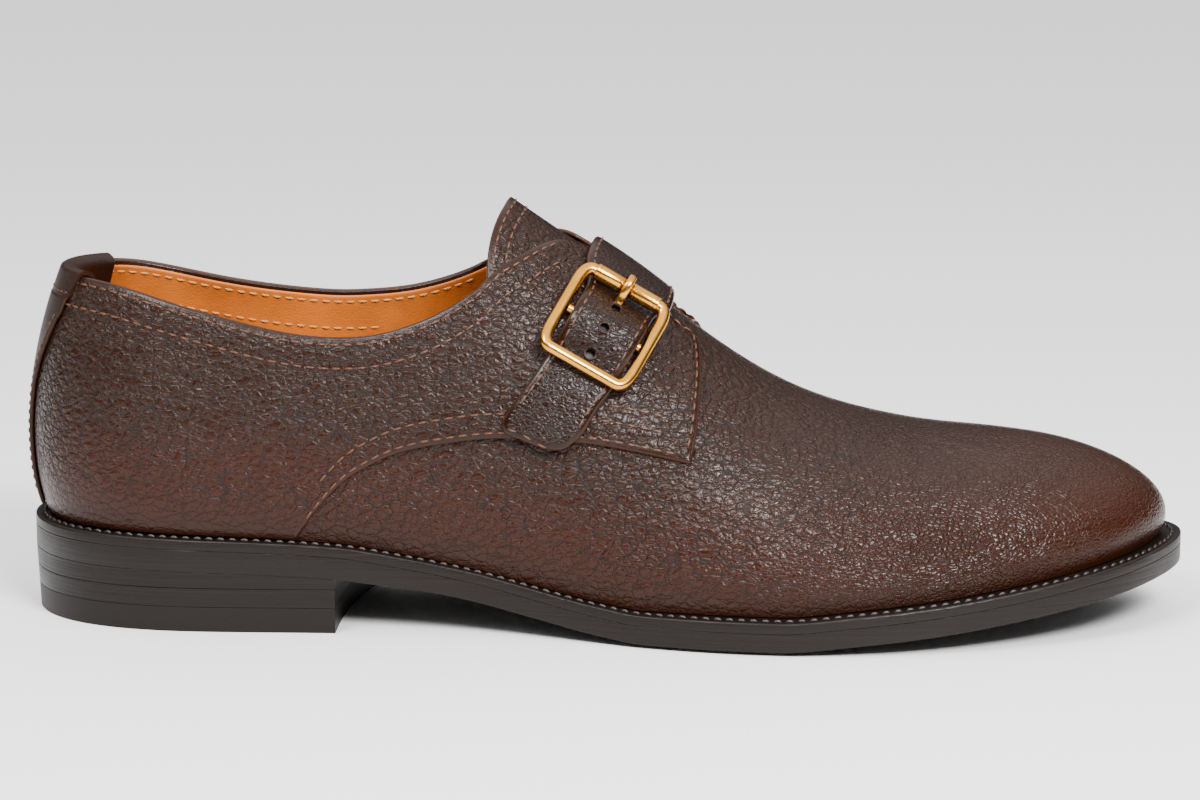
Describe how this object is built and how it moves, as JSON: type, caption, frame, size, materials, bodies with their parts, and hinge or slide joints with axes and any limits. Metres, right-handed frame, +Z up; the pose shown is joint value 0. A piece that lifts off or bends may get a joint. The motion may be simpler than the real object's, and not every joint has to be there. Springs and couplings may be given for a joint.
{
  "type": "monk strap shoe",
  "caption": "Low leather monk strap shoe for the right foot: open hollow upper, tongue, strap with a fastened roller buckle, welted sole and stacked heel.",
  "frame": {"origin": "bottom centre of the shoe's bounding box, on the floor that it stands on", "axes": "+X from heel to toe, +Y towards the inner side of the foot, +Z up; the buckle is on the -Y side"},
  "size_m": [0.2994, 0.104, 0.107],
  "materials": {
    "upper_leather": "pebbled, semi-gloss",
    "trim_leather": "smooth, semi-gloss",
    "sole_leather": "inked and polished edge",
    "lining_leather": "smooth, matt",
    "heel_rubber": "matt",
    "buckle_brass": "polished"
  },
  "bodies": {
    "root": {"outsole": "sole_leather", "welt": "sole_leather", "heel_lift_upper": "sole_leather", "heel_lift_lower": "sole_leather", "heel_top_piece": "heel_rubber", "insole": "lining_leather", "upper": "upper_leather", "tongue": "upper_leather", "back_strip": "trim_leather", "heel_tab": "trim_leather", "strap": "upper_leather", "buckle_frame": "buckle_brass", "buckle_roller": "buckle_brass", "buckle_prong": "buckle_brass"}
  },
  "joints": []
}
